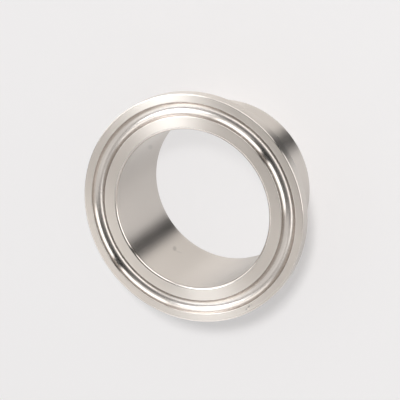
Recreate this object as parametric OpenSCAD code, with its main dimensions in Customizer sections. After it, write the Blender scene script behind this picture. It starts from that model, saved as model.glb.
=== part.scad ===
// Hygienic clamp ferrule with a butt-weld tube end, turned from one piece of stainless steel.
// It stands on its weld end with the flange face up. The origin is the centre of the weld end.

/* [Tube] */
// Outside diameter of the tube that is welded on
tube_d = 38.1; // [34:0.1:40]
// Wall of the tube
tube_wall = 1.5; // [1.2:0.05:2]
// Length from the weld end to the flange face
length = 21.5; // [12.7:0.1:40]

/* [Flange] */
// Outside diameter of the clamp flange
flange_d = 50.5; // [50:0.1:60]
// Thickness of the flange at its rim
rim_h = 2.85; // [2.4:0.05:4]
// Slope of the clamped back face, in degrees
back_slope = 20; // [12:1:25]

/* [Gasket groove] */
// Flat land between the rim and the groove
land_w = 1.8; // [1.5:0.05:2.2]
// Width of the groove at the flange face
groove_w = 3.05; // [2.8:0.05:3.3]
// Depth of the groove, whose section is an arc
groove_h = 1.3; // [1.1:0.05:1.4]

/* [Edges] */
// Radius along the front edge of the rim
rim_front_r = 0.2; // [0.1:0.05:0.6]
// Radius along the back edge of the rim
rim_back_r = 0.5; // [0.2:0.05:1]
// Radius in the corner between the back face and the tube
neck_r = 1.5; // [0.8:0.1:2.5]
// Radius where the bore meets the flange face
bore_edge_r = 0.3; // [0.1:0.05:0.6]
// Width of the edge break along both edges of the groove
groove_break = 0.12; // [0.05:0.01:0.2]
// Radius around the weld end, outside and inside
weld_edge_r = 0.15; // [0.1:0.05:0.4]

/* [Hidden] */
$fn = 180;

// Radii of the turned profile
tube_r = tube_d / 2;
bore_r = tube_r - tube_wall;
flange_r = flange_d / 2;

// The groove lies one land inside the rim, and its arc passes through both edges and the bottom
groove_mid_r = flange_r - land_w - groove_w / 2;
groove_arc_r = (pow(groove_w / 2, 2) + pow(groove_h, 2)) / (2 * groove_h);
groove_arc_z = length - groove_h + groove_arc_r;

// Heights on the back of the flange: at the rim, and where its cone runs into the tube
rim_z = length - rim_h;
neck_z = rim_z - (flange_r - tube_r) * tan(back_slope);

// Unit vectors in the half section, where x is the distance from the axis and y is the height
IN = [-1, 0];
OUT = [1, 0];
UP = [0, 1];
DOWN = [0, -1];
BACK_IN = [-cos(back_slope), -sin(back_slope)];
BACK_OUT = -BACK_IN;

// How far a cut's outline runs past the sides that it blends, as a share of its radius
run_past = 1.2;

// Half the angle between two sides, from their unit vectors
function half_angle(side_a, side_b) = acos(side_a * side_b) / 2;

// Distance from a corner to where an arc of radius r touches its sides
function arc_reach(side_a, side_b, r) = r / tan(half_angle(side_a, side_b));

// Centre of the arc of radius r that touches both sides of a corner
function arc_centre(corner, side_a, side_b, r) =
  corner + (side_a + side_b) / norm(side_a + side_b) * r / sin(half_angle(side_a, side_b));

// What lies between a solid corner and the arc that rounds it.
// The kite from the arc's centre to the corner is drawn larger, so that it runs past both sides.
module edge_cut(corner, side_a, side_b, r) {
  centre = arc_centre(corner, side_a, side_b, r);
  reach = arc_reach(side_a, side_b, r);
  kite = [centre, corner + side_a * reach, corner, corner + side_b * reach];
  difference() {
    polygon([for (p = kite) centre + (p - centre) * run_past]);
    translate(centre) circle(r);
  }
}

// Groove section: its arc, and the slanted edge breaks where it opens into the flange face
module groove_cut() {
  top_x = groove_w / 2 + groove_break + groove_h / 2;
  low_x = groove_w / 2 + groove_break - groove_h / 2;
  translate([groove_mid_r, groove_arc_z]) circle(groove_arc_r);
  translate([groove_mid_r, length]) polygon([
    [-top_x, groove_h / 2],
    [-low_x, -groove_h / 2],
    [low_x, -groove_h / 2],
    [top_x, groove_h / 2]
  ]);
}

// Half section of the tube and the flange with sharp edges.
// Behind the flange the outline steps through the centre of the neck's arc.
module blank_section() {
  neck = [tube_r, neck_z];
  neck_reach = arc_reach(DOWN, BACK_OUT, neck_r);
  neck_centre = arc_centre(neck, DOWN, BACK_OUT, neck_r);
  difference() {
    polygon([
      [bore_r, 0],
      [tube_r, 0],
      neck + DOWN * neck_reach,
      neck_centre,
      neck + BACK_OUT * neck_reach,
      [flange_r, rim_z],
      [flange_r, length],
      [bore_r, length]
    ]);
    translate(neck_centre) circle(neck_r);
  }
}

// Half section of the finished ferrule
module section() {
  difference() {
    blank_section();
    groove_cut();
    edge_cut([flange_r, length], IN, DOWN, rim_front_r);
    edge_cut([flange_r, rim_z], BACK_IN, UP, rim_back_r);
    edge_cut([bore_r, length], OUT, DOWN, bore_edge_r);
    edge_cut([tube_r, 0], IN, UP, weld_edge_r);
    edge_cut([bore_r, 0], OUT, UP, weld_edge_r);
  }
}

// The whole ferrule: its section turned once around the axis
module ferrule() {
  color([0.78, 0.76, 0.73]) rotate_extrude() section();
}

ferrule();
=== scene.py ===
"""Finish, light and camera for a hygienic clamp ferrule turned from one piece of stainless steel.

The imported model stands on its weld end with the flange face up, and z is its axis. This script
replaces the plain solid with a finely divided surface of revolution of the same form, dresses each
turned zone in its own steel finish, and sets a pale floor, a light tent that only the steel sees,
one lamp and the camera.
Lengths are in metres and angles in radians, unless a name says otherwise.
"""

import logging
import math
from collections.abc import Iterable
from dataclasses import dataclass
from enum import Enum

import bpy
import numpy as np
from mathutils import Matrix, Vector


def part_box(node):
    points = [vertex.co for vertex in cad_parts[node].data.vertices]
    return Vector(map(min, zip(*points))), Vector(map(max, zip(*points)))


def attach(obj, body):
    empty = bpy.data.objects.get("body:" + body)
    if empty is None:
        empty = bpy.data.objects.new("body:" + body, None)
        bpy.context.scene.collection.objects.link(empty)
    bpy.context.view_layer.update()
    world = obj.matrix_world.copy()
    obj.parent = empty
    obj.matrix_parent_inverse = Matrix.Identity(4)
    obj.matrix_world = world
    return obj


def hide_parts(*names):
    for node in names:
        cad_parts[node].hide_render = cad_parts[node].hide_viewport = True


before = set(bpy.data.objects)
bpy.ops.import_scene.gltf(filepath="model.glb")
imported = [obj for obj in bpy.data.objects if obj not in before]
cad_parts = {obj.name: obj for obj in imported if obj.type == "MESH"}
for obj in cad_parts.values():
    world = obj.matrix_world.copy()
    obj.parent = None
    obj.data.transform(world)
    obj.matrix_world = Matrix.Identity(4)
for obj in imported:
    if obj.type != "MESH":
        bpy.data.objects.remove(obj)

MM = 0.001
NODE = "ferrule"
BODY = "root"

# Tints of the tent's light
WARM = (1.0, 0.98, 0.95)
COOL = (0.9, 0.95, 1.0)

# A soft mark is full up to the first share of its ellipse, and gone at the second
MARK_CORE = 0.4
MARK_END = 1.3

# Share of a circle by which the shader's stretch is turned, so that highlights spread across the marks
ACROSS = 0.25

# Noise of the steel: how far the direction from the axis moves the rings, its octaves and its scales
RING_DRIFT = 2.0
NOISE_DETAIL = 2.0
RING_SCALE = 1.0
CLOUDS_PER_METRE = 160.0

log = logging.getLogger("ferrule")


class Zone(Enum):
    """The turned zones of the ferrule; each value is the zone's material index."""

    BORE = 0
    FACE = 1
    GROOVE = 2
    RIM = 3
    BACK = 4
    TUBE = 5
    EDGE = 6


@dataclass(frozen=True)
class Stretch:
    """One stretch of the half section, as points of (distance from the axis, height).

    Attributes:
        zone: The turned zone that the stretch belongs to.
        points: Points along it, one row each, in metres.
    """

    zone: Zone
    points: np.ndarray


def line(zone: Zone, start: tuple[float, float], end: tuple[float, float], steps: int) -> Stretch:
    """A straight stretch: p(t) = start + t (end - start), with t even from 0 to 1.

    Args:
        zone: The turned zone.
        start: First point.
        end: Last point.
        steps: Number of steps between the points.

    Returns:
        The stretch.
    """
    t = np.linspace(0.0, 1.0, steps + 1)[:, None]
    return Stretch(zone, np.asarray(start) + t * (np.asarray(end) - np.asarray(start)))


def arc(zone: Zone, centre: tuple[float, float], radius: float, start_deg: float, end_deg: float,
        steps: int) -> Stretch:
    """A round stretch: p(a) = centre + radius (cos a, sin a), with a even from start to end.

    Args:
        zone: The turned zone.
        centre: Centre of the arc.
        radius: Radius of the arc.
        start_deg: First angle, in degrees.
        end_deg: Last angle, in degrees.
        steps: Number of steps between the points.

    Returns:
        The stretch.
    """
    a = np.radians(np.linspace(start_deg, end_deg, steps + 1))
    return Stretch(zone, np.asarray(centre) + radius * np.stack([np.cos(a), np.sin(a)], axis=1))


@dataclass
class FerruleSection:
    """Half section of the ferrule.

    The sizes are those of the part's source, but for two edges. bore_edge_r is larger than the
    source's 0.3 mm, since the photograph shows a wider line there, and lip_r rounds the groove's
    lips, where the source has flat breaks.

    Attributes:
        flange_r: Radius of the flange.
        length: Height of the flange face over the weld end.
        tube_r: Outside radius of the tube.
        bore_r: Radius of the bore.
        rim_h: Thickness of the flange at its rim.
        back_deg: Slope of the back face, in degrees.
        land_w: Flat land between the rim and the groove.
        groove_w: Width of the groove.
        groove_h: Depth of the groove.
        lip_r: Radius that softens both lips of the groove.
        rim_front_r: Radius along the front edge of the rim.
        rim_back_r: Radius along the back edge of the rim.
        neck_r: Radius between the back face and the tube.
        bore_edge_r: Radius where the bore meets the face.
        weld_edge_r: Radius around the weld end.
    """

    flange_r: float
    length: float
    tube_r: float = 19.05 * MM
    bore_r: float = 17.55 * MM
    rim_h: float = 2.85 * MM
    back_deg: float = 20.0
    land_w: float = 1.8 * MM
    groove_w: float = 3.05 * MM
    groove_h: float = 1.3 * MM
    lip_r: float = 0.12 * MM
    rim_front_r: float = 0.2 * MM
    rim_back_r: float = 0.5 * MM
    neck_r: float = 1.5 * MM
    bore_edge_r: float = 0.45 * MM
    weld_edge_r: float = 0.15 * MM

    def groove(self) -> list[Stretch]:
        """The groove from its inner lip to its outer lip.

        The groove's arc passes through both edges and the bottom. Each lip arc has its centre under
        the face and touches both the face and the groove's arc from outside.

        Returns:
            Inner lip, arc and outer lip.
        """
        half = self.groove_w / 2
        mid = self.flange_r - self.land_w - half
        radius = (half**2 + self.groove_h**2) / (2 * self.groove_h)
        centre_z = self.length - self.groove_h + radius
        lip_z = self.length - self.lip_r
        lip_x = math.sqrt((radius + self.lip_r) ** 2 - (centre_z - lip_z) ** 2)
        fall = math.degrees(math.atan2(centre_z - lip_z, lip_x))
        return [
            arc(Zone.EDGE, (mid - lip_x, lip_z), self.lip_r, 90.0, fall, steps=8),
            arc(Zone.GROOVE, (mid, centre_z), radius, 180.0 + fall, 360.0 - fall, steps=44),
            arc(Zone.EDGE, (mid + lip_x, lip_z), self.lip_r, 180.0 - fall, 90.0, steps=8),
        ]

    def stretches(self) -> list[Stretch]:
        """The whole closed half section, bore first, then the face, the rim, the back and the tube.

        Returns:
            The stretches in order, each starting where the one before it ends.
        """
        top = self.length
        groove = self.groove()
        inner_land = tuple(groove[0].points[0])
        outer_land = tuple(groove[-1].points[-1])
        rim_z = top - self.rim_h
        slope = math.radians(self.back_deg)
        edge = self.weld_edge_r
        # A blend's centre lies one radius from both of its sides
        turn = math.tan(math.radians(90.0 - self.back_deg) / 2)
        rim_reach = self.rim_back_r * turn
        back_z = rim_z + rim_reach
        neck_z = rim_z - (self.flange_r - self.tube_r) * math.tan(slope)
        neck_reach = self.neck_r * turn
        rim_centre = (self.flange_r - self.rim_back_r, back_z)
        neck_centre = (self.tube_r + self.neck_r, neck_z - neck_reach)
        rim_blend = arc(Zone.RIM, rim_centre, self.rim_back_r, 0.0, -90.0 + self.back_deg, steps=10)
        neck_blend = arc(Zone.BACK, neck_centre, self.neck_r, 90.0 + self.back_deg, 180.0, steps=14)
        bore_edge = (self.bore_r + self.bore_edge_r, top - self.bore_edge_r)
        rim_edge = (self.flange_r - self.rim_front_r, top - self.rim_front_r)
        return [
            arc(Zone.BORE, (self.bore_r + edge, edge), edge, 270.0, 180.0, steps=5),
            line(Zone.BORE, (self.bore_r, edge), (self.bore_r, bore_edge[1]), steps=16),
            arc(Zone.EDGE, bore_edge, self.bore_edge_r, 180.0, 90.0, steps=12),
            line(Zone.FACE, (bore_edge[0], top), inner_land, steps=8),
            *groove,
            line(Zone.FACE, outer_land, (rim_edge[0], top), steps=6),
            arc(Zone.EDGE, rim_edge, self.rim_front_r, 90.0, 0.0, steps=10),
            line(Zone.RIM, (self.flange_r, rim_edge[1]), (self.flange_r, back_z), steps=6),
            rim_blend,
            line(Zone.BACK, tuple(rim_blend.points[-1]), tuple(neck_blend.points[0]), steps=8),
            neck_blend,
            line(Zone.TUBE, (self.tube_r, neck_z - neck_reach), (self.tube_r, edge), steps=12),
            arc(Zone.TUBE, (self.tube_r - edge, edge), edge, 0.0, -90.0, steps=5),
            line(Zone.TUBE, (self.tube_r - edge, 0.0), (self.bore_r + edge, 0.0), steps=3),
        ]


class Graph:
    """Short calls that add shader nodes to one node tree."""

    def __init__(self, tree: bpy.types.NodeTree) -> None:
        """Keeps the tree that nodes are added to."""
        self.tree = tree

    def node(self, kind: str, **settings: object) -> bpy.types.Node:
        """Adds a node of that kind, and sets its properties."""
        made = self.tree.nodes.new(kind)
        for name, value in settings.items():
            setattr(made, name, value)
        return made

    def feed(self, socket: bpy.types.NodeSocket, value: object) -> None:
        """Links value to the socket if it is a socket, and otherwise writes it there."""
        if isinstance(value, bpy.types.NodeSocket):
            self.tree.links.new(value, socket)
        else:
            socket.default_value = value

    def math(self, operation: str, *values: object) -> bpy.types.NodeSocket:
        """Adds a Math node on those values and returns its output."""
        made = self.node("ShaderNodeMath", operation=operation)
        for socket, value in zip(made.inputs, values, strict=False):
            self.feed(socket, value)
        return made.outputs[0]

    def ramp(self, value: object, low: float, high: float, to_low: float = 0.0,
             to_high: float = 1.0) -> bpy.types.NodeSocket:
        """A smooth step of value, from to_low at low to to_high at high."""
        made = self.node("ShaderNodeMapRange", interpolation_type="SMOOTHSTEP")
        for name, number in (("Value", value), ("From Min", low), ("From Max", high),
                             ("To Min", to_low), ("To Max", to_high)):
            self.feed(made.inputs[name], number)
        return made.outputs[0]

    def mix(self, factor: object, first: object, second: object) -> bpy.types.NodeSocket:
        """Mixes two vectors, which may be above 1: first at factor 0 and second at factor 1."""
        made = self.node("ShaderNodeMix", data_type="VECTOR")
        for index, value in ((0, factor), (4, first), (5, second)):
            self.feed(made.inputs[index], value)
        return made.outputs[1]

    def blend(self, factor: object, first: object, second: object) -> bpy.types.NodeSocket:
        """Mixes two colours: first at factor 0 and second at factor 1."""
        made = self.node("ShaderNodeMix", data_type="RGBA")
        for index, value in ((0, factor), (6, first), (7, second)):
            self.feed(made.inputs[index], value)
        return made.outputs[2]


@dataclass(frozen=True)
class Panel:
    """One light or dark field of the studio, as the steel sees it.

    Attributes:
        azimuth_deg: Direction of its middle, around the axis from +X.
        half_width_deg: Half its width.
        low_deg: Elevation of its lower edge.
        high_deg: Elevation of its upper edge.
        level: Brightness, where 1 is white.
        soft_deg: Width of its soft edges.
        narrow: Whether its width is a true angle, and not one measured around the axis.
        tint: Colour of its light.
    """

    azimuth_deg: float
    half_width_deg: float
    low_deg: float
    high_deg: float
    level: float
    soft_deg: float = 8.0
    narrow: bool = False
    tint: tuple[float, float, float] = (1.0, 1.0, 1.0)


@dataclass
class Studio:
    """Pale floor, pale backdrop and the soft fields of light that the steel mirrors.

    The panels were fitted to the tones of the steel in the photograph by least squares, and then
    rounded, so they describe that picture's light and no real set of lamps.

    Attributes:
        pale: Colour of the floor and the backdrop.
        ambient: Level of the world for shading.
        base_level: Level that the steel sees between the panels.
        panels: Light and dark fields, later ones over earlier ones.
        tent_half: Half the side of the light tent.
        floor_half: Half the side of the floor.
        floor_glow: Share of the floor's tone that shadows leave as it is.
        bore_painted_light: The same inside the bore, where the larger glow is painted light for the light
            that the bore's bright wall throws on the floor.
        foot_r: Radius of the ring where the tube stands on the floor, which is also the edge of that
            painted light.
        foot_soft: Width over which the glow changes there.
        lamp_place: Where the lamp hangs.
        lamp_side: Length of its side.
        lamp_watts: Its power.
    """

    pale: tuple[float, float, float] = (0.855, 0.841, 0.841)
    ambient: float = 0.55
    base_level: float = 0.9
    tent_half: float = 0.32
    floor_half: float = 3.0
    floor_glow: float = 0.34
    bore_painted_light: float = 0.78
    foot_r: float = 18.3 * MM
    foot_soft: float = 1.0 * MM
    lamp_place: tuple[float, float, float] = (0.245, -0.685, 1.31)
    lamp_side: float = 0.17
    lamp_watts: float = 11.6
    panels: tuple[Panel, ...] = (
        # Each comment says where in the picture the steel shows the field most, edges apart
        Panel(110.0, 30.0, -90.0, -50.0, 1.0, 15.0),  # bore, at the upper left
        Panel(160.0, 25.0, -90.0, -50.0, 0.7, 15.0),  # bore, upper left, and the right end of the rim
        Panel(330.0, 50.0, -90.0, -40.0, 1.1, 15.0, tint=WARM),  # top of the rim, tube, bore at the bottom
        Panel(10.0, 40.0, -35.0, 40.0, 2.0, 10.0),  # outer wall of the groove, at the bottom
        Panel(5.0, 15.0, 40.0, 65.0, 5.0, 8.0, tint=COOL),  # groove at the bottom and the top
        Panel(75.0, 30.0, -90.0, 35.0, 0.5, 10.0),  # bore, at the lower right
        Panel(125.0, 15.0, -40.0, 50.0, 1.5, 8.0),  # outer wall of the groove, at the upper left
        Panel(85.0, 15.0, 40.0, 55.0, 3.0, 8.0),  # groove's bottom at the left, lands at the lower left
        Panel(55.0, 20.0, 40.0, 60.0, 0.8, 8.0),  # groove's bottom and both lands, at the upper left
        Panel(85.0, 15.0, 55.0, 70.0, 0.5, 8.0),  # groove's bottom at the lower right, lands all round
        Panel(150.0, 15.0, 55.0, 70.0, 1.2, 8.0),  # both lands, at the lower right
        Panel(0.0, 181.0, 70.0, 91.0, 0.2, 8.0),  # groove's bottom and both lands, at the upper right
        Panel(40.0, 15.0, 55.0, 65.0, 8.0, 4.0, tint=COOL),  # bright patch at the top, groove and lands
        Panel(115.0, 10.0, 40.0, 50.0, 2.5, 4.0, tint=COOL),  # lighter patch of the lands, at the bottom
        Panel(245.0, 25.0, -5.0, 45.0, 3.0, 8.0),  # walls of the groove, at the right and the left
        Panel(300.0, 25.0, 5.0, 45.0, 3.0, 8.0),  # walls of the groove, upper right and bottom
        Panel(300.0, 25.0, -40.0, -10.0, 0.5, 8.0),  # faint: rim and tube, at the upper right
        Panel(250.0, 45.0, 45.0, 91.0, 0.1, 8.0),  # dark: outer wall of the groove, at the left
        # The camera's own side: a dark stripe across the groove,
        # and its foot on the rim, the tube and the bore
        Panel(270.0, 5.0, -35.0, 91.0, 0.05, 3.0, narrow=True, tint=COOL),
        Panel(270.0, 15.0, -91.0, -35.0, 0.05, 20.0, tint=COOL),
    )

    def world(self) -> None:
        """Builds the world: the backdrop's colour to the camera, and an even light for shading."""
        world = bpy.data.worlds.new("studio")
        bpy.context.scene.world = world
        world.use_nodes = True
        world.node_tree.nodes.clear()
        g = Graph(world.node_tree)
        camera_ray = g.node("ShaderNodeLightPath").outputs["Is Camera Ray"]
        background = g.node("ShaderNodeBackground")
        tone = g.blend(camera_ray, (self.ambient,) * 3 + (1.0,), (*self.pale, 1.0))
        g.feed(background.inputs["Color"], tone)
        g.feed(g.node("ShaderNodeOutputWorld").inputs["Surface"], background.outputs[0])

    def tent(self, centre_z: float) -> bpy.types.Object:
        """Builds the light tent: a box around the ferrule that only the steel sees.

        Its tone in each direction from the centre is the base level with the panels laid over it.

        Args:
            centre_z: Height of its centre.

        Returns:
            The tent's object.
        """
        h = self.tent_half
        corners = [(x, y, z) for x in (-h, h) for y in (-h, h) for z in (-h, h)]
        sides = [(0, 1, 3, 2), (4, 6, 7, 5), (0, 4, 5, 1), (2, 3, 7, 6), (0, 2, 6, 4), (1, 5, 7, 3)]
        mesh = bpy.data.meshes.new("light_tent")
        mesh.from_pydata(corners, [], sides)
        tent = bpy.data.objects.new("light_tent", mesh)
        tent.location = (0.0, 0.0, centre_z)
        for rays in ("camera", "diffuse", "transmission", "volume_scatter", "shadow"):
            setattr(tent, "visible_" + rays, False)
        bpy.context.scene.collection.objects.link(tent)
        material = bpy.data.materials.new("tent_cloth")
        material.use_nodes = True
        material.node_tree.nodes.clear()
        g = Graph(material.node_tree)
        aim = g.node("ShaderNodeVectorMath", operation="NORMALIZE")
        g.feed(aim.inputs[0], g.node("ShaderNodeTexCoord").outputs["Object"])
        split = g.node("ShaderNodeSeparateXYZ")
        g.feed(split.inputs[0], aim.outputs[0])
        x, y, z = split.outputs
        azimuth = g.math("ARCTAN2", y, x)
        elevation = g.math("ARCSINE", z)
        light: object = (self.base_level,) * 3
        for panel in self.panels:
            light = self.laid_over(g, panel, azimuth, elevation, light)
        cloth = g.node("ShaderNodeEmission")
        g.feed(cloth.inputs["Color"], light)
        g.feed(g.node("ShaderNodeOutputMaterial").inputs["Surface"], cloth.outputs[0])
        mesh.materials.append(material)
        return tent

    def laid_over(self, g: Graph, panel: Panel, azimuth: object, elevation: object,
                  under: object) -> bpy.types.NodeSocket:
        """Lays one panel over what is under it, with soft edges.

        The mask is s(azimuth) s(elevation), where s falls smoothly from 1 to 0 across an edge. The
        azimuth of a narrow panel is first multiplied by cos(elevation), so that it keeps its width.

        Args:
            g: Graph of the tent's material.
            panel: The panel.
            azimuth: Socket of the direction's azimuth.
            elevation: Socket of the direction's elevation.
            under: Light under the panel, a vector or a socket.

        Returns:
            The light with the panel on it.
        """
        soft = math.radians(panel.soft_deg) / 2
        half = math.radians(panel.half_width_deg)
        turned = g.math("SUBTRACT", azimuth, math.radians(panel.azimuth_deg))
        away = g.math("ABSOLUTE", g.math("WRAP", turned, math.pi, -math.pi))
        if panel.narrow:
            away = g.math("MULTIPLY", away, g.math("COSINE", elevation))
        side = g.ramp(away, half - soft, half + soft, 1.0, 0.0)
        low, high = math.radians(panel.low_deg), math.radians(panel.high_deg)
        over = g.ramp(elevation, low - soft, low + soft)
        below = g.ramp(elevation, high - soft, high + soft, 1.0, 0.0)
        mask = g.math("MULTIPLY", side, g.math("MULTIPLY", over, below))
        return g.mix(mask, under, tuple(panel.level * c for c in panel.tint))

    def floor(self) -> bpy.types.Object:
        """Builds the pale floor under the weld end.

        A share of its tone is its own glow, which is larger inside the bore: painted light there for the
        light that the bore's bright wall throws on the floor. The steel looks through it, so that it
        mirrors the tent all round and not its own shadow.

        Returns:
            The floor's object.
        """
        h = self.floor_half
        mesh = bpy.data.meshes.new("floor")
        mesh.from_pydata([(-h, -h, 0.0), (h, -h, 0.0), (h, h, 0.0), (-h, h, 0.0)], [], [(0, 1, 2, 3)])
        floor = bpy.data.objects.new("floor", mesh)
        bpy.context.scene.collection.objects.link(floor)
        material = bpy.data.materials.new("pale_floor")
        material.use_nodes = True
        material.node_tree.nodes.clear()
        g = Graph(material.node_tree)
        diffuse = g.node("ShaderNodeBsdfDiffuse")
        g.feed(diffuse.inputs["Color"], (*self.pale, 1.0))
        glow = g.node("ShaderNodeEmission")
        g.feed(glow.inputs["Color"], (*self.pale, 1.0))
        tone = g.node("ShaderNodeMixShader")
        reach = g.node("ShaderNodeVectorMath", operation="LENGTH")
        g.feed(reach.inputs[0], g.node("ShaderNodeTexCoord").outputs["Object"])
        # Even glow outside the foot ring; inside it a larger share, painted light for what the bore's wall
        # throws on the floor
        inside, outside = self.foot_r - self.foot_soft / 2, self.foot_r + self.foot_soft / 2
        share = g.ramp(reach.outputs["Value"], inside, outside, self.bore_painted_light, self.floor_glow)
        for index, value in ((0, share), (1, diffuse.outputs[0]), (2, glow.outputs[0])):
            g.feed(tone.inputs[index], value)
        clear = g.node("ShaderNodeBsdfTransparent")
        seen = g.node("ShaderNodeMixShader")
        glossy = g.node("ShaderNodeLightPath").outputs["Is Glossy Ray"]
        for index, value in ((0, glossy), (1, tone.outputs[0]), (2, clear.outputs[0])):
            g.feed(seen.inputs[index], value)
        g.feed(g.node("ShaderNodeOutputMaterial").inputs["Surface"], seen.outputs[0])
        mesh.materials.append(material)
        return floor

    def lamp(self) -> bpy.types.Object:
        """Adds the square area lamp that faces the weld end and lights the floor around it.

        The steel doesn't mirror it.

        Returns:
            The lamp's object.
        """
        light = bpy.data.lights.new("key_softbox", "AREA")
        light.shape = "SQUARE"
        light.size = self.lamp_side
        light.energy = self.lamp_watts
        lamp = bpy.data.objects.new("key_softbox", light)
        lamp.location = self.lamp_place
        lamp.rotation_euler = (-Vector(self.lamp_place)).to_track_quat("-Z", "Y").to_euler()
        lamp.visible_glossy = False
        bpy.context.scene.collection.objects.link(lamp)
        return lamp

    def build(self, face_z: float) -> None:
        """Sets the world, the tent, the floor and the lamp, for a flange face at that height."""
        bpy.context.scene.view_settings.view_transform = "Standard"
        self.world()
        self.tent(face_z)
        self.floor()
        self.lamp()


@dataclass(frozen=True)
class PhotoView:
    """The camera, at the photograph's viewing angle.

    The ferrule stands upright here, so the camera is turned about its own line of sight. Its place
    and angles come from fitting the rim's, groove's, bore's and tube's circles to the photograph.

    Attributes:
        elevation_deg: Height of the camera over the flange's plane.
        roll_deg: Turn about the line of sight, clockwise on the image.
        distance: Distance from the centre of the flange face, along the line of sight.
        off_right: How far the face's centre lies to the right of the line of sight.
        off_down: How far it lies below the line of sight.
        focal_px: Focal length, in pixels of the image.
        image_px: Side of the image, in pixels.
        near: Nearest distance that the camera sees.
    """

    elevation_deg: float = 61.98
    roll_deg: float = 125.56
    distance: float = 425.50 * MM
    off_right: float = -1.81 * MM
    off_down: float = 2.03 * MM
    focal_px: float = 2000.0
    image_px: float = 400.0
    near: float = 10.0 * MM

    def build(self, target: Vector) -> bpy.types.Object:
        """Adds the camera and makes it the scene's.

        The upright camera's axes are right = +X, up = (0, sin e, cos e) and back = (0, -cos e, sin e)
        at elevation e. Right and up are then turned about back by the roll.

        Args:
            target: Centre of the flange face.

        Returns:
            The camera's object.
        """
        e, roll = math.radians(self.elevation_deg), math.radians(-self.roll_deg)
        level_right = Vector((1.0, 0.0, 0.0))
        level_up = Vector((0.0, math.sin(e), math.cos(e)))
        back = Vector((0.0, -math.cos(e), math.sin(e)))
        right = level_right * math.cos(roll) + level_up * math.sin(roll)
        up = level_up * math.cos(roll) - level_right * math.sin(roll)
        place = target - right * self.off_right + up * self.off_down + back * self.distance
        data = bpy.data.cameras.new("camera")
        data.lens = data.sensor_width * self.focal_px / self.image_px
        data.clip_start = self.near
        camera = bpy.data.objects.new("camera", data)
        camera.matrix_world = Matrix((right, up, back)).transposed().to_4x4()
        camera.location = place
        bpy.context.scene.collection.objects.link(camera)
        bpy.context.scene.camera = camera
        return camera


class Side(Enum):
    """The kind of surface that a mark lies on."""

    WALL = 0
    FLAT = 1


@dataclass(frozen=True)
class SoftMark:
    """One small soft-edged mark on the steel, an ellipse on the surface.

    Attributes:
        side: Whether it lies on a wall around the axis or on the flange's flat face.
        azimuth_deg: Direction of its middle from the axis.
        radius: Distance of its middle from the axis.
        height: Height of its middle.
        half_long: Half its length.
        half_short: Half its width.
        lean_deg: Turn of its length away from the direction around the axis, towards the second
            direction of the surface: up on a wall and outwards on a flat.
        change: How much brighter its tone is, as a share, below 0 for a darker mark.
    """

    side: Side
    azimuth_deg: float
    radius: float
    height: float
    half_long: float
    half_short: float
    lean_deg: float
    change: float

    def axes(self) -> tuple[Vector, Vector, Vector]:
        """The mark's middle, and its unit directions, each divided by half the mark's size along it.

        With e = (cos a, sin a, 0) outwards and f = (-sin a, cos a, 0) around, the long axis is
        f cos(lean) + s sin(lean) and the short one s cos(lean) - f sin(lean), where s is up on a wall
        and e on a flat.

        Returns:
            Middle, long axis over half_long and short axis over half_short.
        """
        a, lean = math.radians(self.azimuth_deg), math.radians(self.lean_deg)
        out = Vector((math.cos(a), math.sin(a), 0.0))
        around = Vector((-math.sin(a), math.cos(a), 0.0))
        second = Vector((0.0, 0.0, 1.0)) if self.side is Side.WALL else out
        middle = out * self.radius + Vector((0.0, 0.0, self.height))
        long_axis = (around * math.cos(lean) + second * math.sin(lean)) / self.half_long
        short_axis = (second * math.cos(lean) - around * math.sin(lean)) / self.half_short
        return middle, long_axis, short_axis


def soft_mark() -> bpy.types.NodeTree:
    """Builds the shared group of one soft mark.

    With d the way from the mark's middle, q = sqrt((d . long)^2 + (d . short)^2) is 1 on the ellipse,
    and the mask falls smoothly from 1 at q = MARK_CORE to 0 at q = MARK_END.

    Returns:
        The node group.
    """
    group = bpy.data.node_groups.new("soft_mark", "ShaderNodeTree")
    for name in ("Middle", "Long Axis", "Short Axis"):
        group.interface.new_socket(name, in_out="INPUT", socket_type="NodeSocketVector")
    group.interface.new_socket("Mask", in_out="OUTPUT", socket_type="NodeSocketFloat")
    g = Graph(group)
    given = g.node("NodeGroupInput")
    away = g.node("ShaderNodeVectorMath", operation="SUBTRACT")
    g.feed(away.inputs[0], g.node("ShaderNodeTexCoord").outputs["Object"])
    g.feed(away.inputs[1], given.outputs["Middle"])
    squares = []
    for name in ("Long Axis", "Short Axis"):
        along = g.node("ShaderNodeVectorMath", operation="DOT_PRODUCT")
        g.feed(along.inputs[0], away.outputs[0])
        g.feed(along.inputs[1], given.outputs[name])
        squares.append(g.math("MULTIPLY", along.outputs["Value"], along.outputs["Value"]))
    q = g.math("SQRT", g.math("ADD", *squares))
    g.feed(g.node("NodeGroupOutput").inputs["Mask"], g.ramp(q, MARK_CORE, MARK_END, 1.0, 0.0))
    return group


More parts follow.
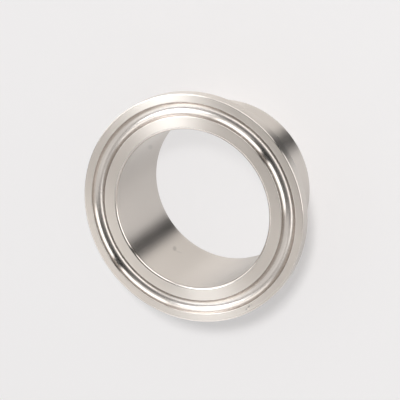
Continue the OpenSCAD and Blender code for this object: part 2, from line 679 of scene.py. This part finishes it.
@dataclass(frozen=True)
class SteelFinish:
    """A turned and lightly polished stainless steel finish.

    The tool marks run around the axis, so a highlight spreads across them and stays narrow along them.

    Attributes:
        name: Name of the material.
        colour: Colour of the steel.
        roughness: Mean roughness.
        stretch: How much rougher it is across the marks than along them, from 0 to 1.
        marks_per_mm: How many fine marks lie on a millimetre.
        marks_depth: Height of the marks in the bump.
        cloud: How much the roughness wanders over the surface.
        mottle: How much its tone wanders with the same clouds, as a share.
        marks: Small marks of wear on it, and any painted glint among them.
    """

    name: str
    colour: tuple[float, float, float] = (0.605, 0.557, 0.517)
    roughness: float = 0.30
    stretch: float = 0.85
    marks_per_mm: float = 9.0
    marks_depth: float = 0.0015 * MM
    cloud: float = 0.04
    mottle: float = 0.03
    marks: tuple[SoftMark, ...] = ()

    def shade(self, g: Graph, spot: bpy.types.NodeTree) -> object:
        """Works out the share of the steel's tone that its marks leave: the product of 1 + change mask.

        Args:
            g: Graph of the finish's material.
            spot: The shared group of one soft mark.

        Returns:
            The share's socket, or 1 where there are no marks.
        """
        shade: object = 1.0
        for mark in self.marks:
            placed = g.node("ShaderNodeGroup", node_tree=spot)
            for name, value in zip(("Middle", "Long Axis", "Short Axis"), mark.axes(), strict=True):
                placed.inputs[name].default_value = value
            one = g.math("MULTIPLY_ADD", placed.outputs["Mask"], mark.change, 1.0)
            shade = g.math("MULTIPLY", shade, one)
        return shade

    def build(self, turned_group: bpy.types.NodeTree, spot: bpy.types.NodeTree) -> bpy.types.Material:
        """Makes the material.

        Args:
            turned_group: The shared group of turned marks.
            spot: The shared group of one soft mark.

        Returns:
            The material.
        """
        material = bpy.data.materials.new(self.name)
        material.use_nodes = True
        material.node_tree.nodes.clear()
        g = Graph(material.node_tree)
        turned = g.node("ShaderNodeGroup", node_tree=turned_group)
        turned.inputs["Marks Per Metre"].default_value = self.marks_per_mm / MM
        bump = g.node("ShaderNodeBump")
        bump.inputs["Distance"].default_value = self.marks_depth
        g.feed(bump.inputs["Height"], turned.outputs["Height"])
        steel = g.node("ShaderNodeBsdfPrincipled")
        steel.inputs["Metallic"].default_value = 1.0
        steel.inputs["Anisotropic"].default_value = self.stretch
        steel.inputs["Anisotropic Rotation"].default_value = ACROSS
        darker = tuple((1.0 - self.mottle) * c for c in self.colour)
        lighter = tuple((1.0 + self.mottle) * c for c in self.colour)
        uneven = g.blend(turned.outputs["Cloud"], (*darker, 1.0), (*lighter, 1.0))
        tone = g.node("ShaderNodeVectorMath", operation="SCALE")
        g.feed(tone.inputs[0], uneven)
        g.feed(tone.inputs["Scale"], self.shade(g, spot))
        g.feed(steel.inputs["Base Color"], tone.outputs[0])
        wander = g.math("MULTIPLY", g.math("SUBTRACT", turned.outputs["Cloud"], 0.5), self.cloud * 2)
        g.feed(steel.inputs["Roughness"], g.math("ADD", wander, self.roughness))
        g.feed(steel.inputs["Normal"], bump.outputs["Normal"])
        around = g.node("ShaderNodeTangent", direction_type="UV_MAP", uv_map="turned")
        g.feed(steel.inputs["Tangent"], around.outputs[0])
        g.feed(g.node("ShaderNodeOutputMaterial").inputs["Surface"], steel.outputs[0])
        return material


def turned_marks() -> bpy.types.NodeTree:
    """Builds the shared group of turned marks.

    Height is noise of (m r, m z), where r is the distance from the axis, z the height and m the marks
    per metre. The unit direction from the axis moves it only slowly, so that the marks are rings.
    Cloud is soft noise a few millimetres wide.

    Returns:
        The node group.
    """
    group = bpy.data.node_groups.new("turned_marks", "ShaderNodeTree")
    group.interface.new_socket("Marks Per Metre", in_out="INPUT", socket_type="NodeSocketFloat")
    group.interface.new_socket("Height", in_out="OUTPUT", socket_type="NodeSocketFloat")
    group.interface.new_socket("Cloud", in_out="OUTPUT", socket_type="NodeSocketFloat")
    g = Graph(group)
    given = g.node("NodeGroupInput")
    place = g.node("ShaderNodeTexCoord").outputs["Object"]
    split = g.node("ShaderNodeSeparateXYZ")
    g.feed(split.inputs[0], place)
    x, y, z = split.outputs
    r = g.math("SQRT", g.math("ADD", g.math("MULTIPLY", x, x), g.math("MULTIPLY", y, y)))
    rings = g.node("ShaderNodeCombineXYZ")
    g.feed(rings.inputs[0], g.math("MULTIPLY", r, given.outputs[0]))
    g.feed(rings.inputs[1], g.math("MULTIPLY", z, given.outputs[0]))
    g.feed(rings.inputs[2], g.math("MULTIPLY", RING_DRIFT, g.math("DIVIDE", x, r)))
    fine = g.node("ShaderNodeTexNoise", noise_dimensions="4D")
    g.feed(fine.inputs["Vector"], rings.outputs[0])
    g.feed(fine.inputs["W"], g.math("MULTIPLY", RING_DRIFT, g.math("DIVIDE", y, r)))
    fine.inputs["Scale"].default_value = RING_SCALE
    fine.inputs["Detail"].default_value = NOISE_DETAIL
    cloud = g.node("ShaderNodeTexNoise")
    g.feed(cloud.inputs["Vector"], place)
    cloud.inputs["Scale"].default_value = CLOUDS_PER_METRE
    cloud.inputs["Detail"].default_value = NOISE_DETAIL
    out = g.node("NodeGroupOutput")
    g.feed(out.inputs["Height"], fine.outputs[0])
    g.feed(out.inputs["Cloud"], cloud.outputs[0])
    return group


def bore_marks(section: FerruleSection) -> tuple[SoftMark, ...]:
    """A dark smear in two strokes on the wall of the bore, and a faint smudge a quarter turn away."""
    r = section.bore_r
    return (
        SoftMark(Side.WALL, 106.3, r, 7.4 * MM, 1.1 * MM, 0.5 * MM, 72.0, -0.26),
        SoftMark(Side.WALL, 110.4, r, 7.4 * MM, 0.9 * MM, 0.4 * MM, -35.0, -0.09),
        SoftMark(Side.WALL, 20.5, r, 8.8 * MM, 2.8 * MM, 0.6 * MM, -64.0, -0.16),
    )


def face_marks(section: FerruleSection) -> tuple[SoftMark, ...]:
    """Three dark nicks outside the groove's outer lip, and between them a painted glint, a bright spot
    where a nick catches the light.
    """
    z = section.length
    return (
        SoftMark(Side.FLAT, 174.4, 24.05 * MM, z, 0.45 * MM, 0.16 * MM, -18.0, -0.55),
        SoftMark(Side.FLAT, 172.3, 24.35 * MM, z, 0.30 * MM, 0.14 * MM, -30.0, -0.45),
        # Painted glint: a brighter spot in the steel's colour where a nick catches the light
        SoftMark(Side.FLAT, 173.5, 24.45 * MM, z, 0.25 * MM, 0.15 * MM, -20.0, 0.25),
        SoftMark(Side.FLAT, 176.2, 24.05 * MM, z, 0.20 * MM, 0.12 * MM, 0.0, -0.35),
    )


def steel_finishes(section: FerruleSection) -> dict[Zone, SteelFinish]:
    """Chooses the finish of each turned zone.

    Args:
        section: The half section, which places the marks of wear.

    Returns:
        One finish for each zone.
    """
    face = SteelFinish("face_steel", colour=(0.605, 0.552, 0.503), roughness=0.31, stretch=0.86,
                       marks=face_marks(section))
    return {
        Zone.BORE: SteelFinish("bore_steel", marks=bore_marks(section)),
        Zone.FACE: face,
        Zone.GROOVE: SteelFinish("groove_steel", roughness=0.20),
        Zone.RIM: SteelFinish("rim_steel", roughness=0.28),
        Zone.BACK: SteelFinish("back_steel"),
        Zone.TUBE: SteelFinish("tube_steel"),
        Zone.EDGE: SteelFinish("edge_steel", roughness=0.18, stretch=0.75),
    }


@dataclass
class Ferrule:
    """The ferrule: its section carried once around the axis, in seven turned zones.

    Attributes:
        section: The half section.
        around: Number of steps around the axis.
    """

    section: FerruleSection
    around: int = 480

    def mesh(self) -> bpy.types.Mesh:
        """Works out the surface of revolution.

        A point of the section at (r, z) goes to (r cos a, r sin a, z) for the angles
        a = 2 pi i / around. Rows wrap at both ends, so the surface is closed, and faces run first
        along the section and then around, so that they point outwards. The UV map holds the turn
        around the axis and the share of the way along the section.

        Returns:
            The mesh, with its zones as material indices.
        """
        stretches = self.section.stretches()
        path = np.concatenate([s.points[:-1] for s in stretches])
        zones = np.concatenate([np.full(len(s.points) - 1, s.zone.value) for s in stretches])
        m, n = len(path), self.around
        angle = 2 * np.pi * np.arange(n) / n
        verts = np.empty((n, m, 3))
        verts[..., 0] = np.cos(angle)[:, None] * path[None, :, 0]
        verts[..., 1] = np.sin(angle)[:, None] * path[None, :, 0]
        verts[..., 2] = path[None, :, 1]
        i, j = np.meshgrid(np.arange(n), np.arange(m), indexing="ij")
        ip, jp = (i + 1) % n, (j + 1) % m
        quads = np.stack([i * m + j, i * m + jp, ip * m + jp, ip * m + j], axis=-1).reshape(-1, 4)
        along = np.concatenate([[0.0], np.cumsum(np.linalg.norm(np.roll(path, -1, 0) - path, axis=1))])
        along /= along[-1]
        u = np.stack([i, i, i + 1, i + 1], axis=-1) / n
        v = along[np.stack([j, j + 1, j + 1, j], axis=-1)]
        mesh = bpy.data.meshes.new("ferrule_turned")
        mesh.from_pydata(verts.reshape(-1, 3).tolist(), [], quads.tolist())
        mesh.uv_layers.new(name="turned").data.foreach_set("uv", np.stack([u, v], axis=-1).ravel())
        for _ in Zone:
            mesh.materials.append(None)
        mesh.polygons.foreach_set("material_index", np.tile(zones, n).astype(np.int32))
        mesh.polygons.foreach_set("use_smooth", np.ones(n * m, dtype=bool))
        mesh.update()
        return mesh

    def build(self) -> bpy.types.Object:
        """Builds the dressed ferrule in place of the plain solid.

        Returns:
            The ferrule's object.
        """
        mesh = self.mesh()
        turned_group, spot = turned_marks(), soft_mark()
        for zone, finish in steel_finishes(self.section).items():
            mesh.materials[zone.value] = finish.build(turned_group, spot)
        piece = bpy.data.objects.new("ferrule_turned", mesh)
        bpy.context.scene.collection.objects.link(piece)
        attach(piece, BODY)
        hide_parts(NODE)
        log.info("piece %s: %d faces in %d zones", piece.name, len(mesh.polygons), len(Zone))
        return piece


def main() -> None:
    logging.basicConfig(level=logging.INFO, format="%(name)s: %(message)s")
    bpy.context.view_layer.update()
    low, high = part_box(NODE)
    face_z = float(high[2])
    Studio().build(face_z)
    Ferrule(FerruleSection(flange_r=float(high[0] - low[0]) / 2, length=float(high[2] - low[2]))).build()
    PhotoView().build(Vector((0.0, 0.0, face_z)))


if __name__ == "__main__":
    main()
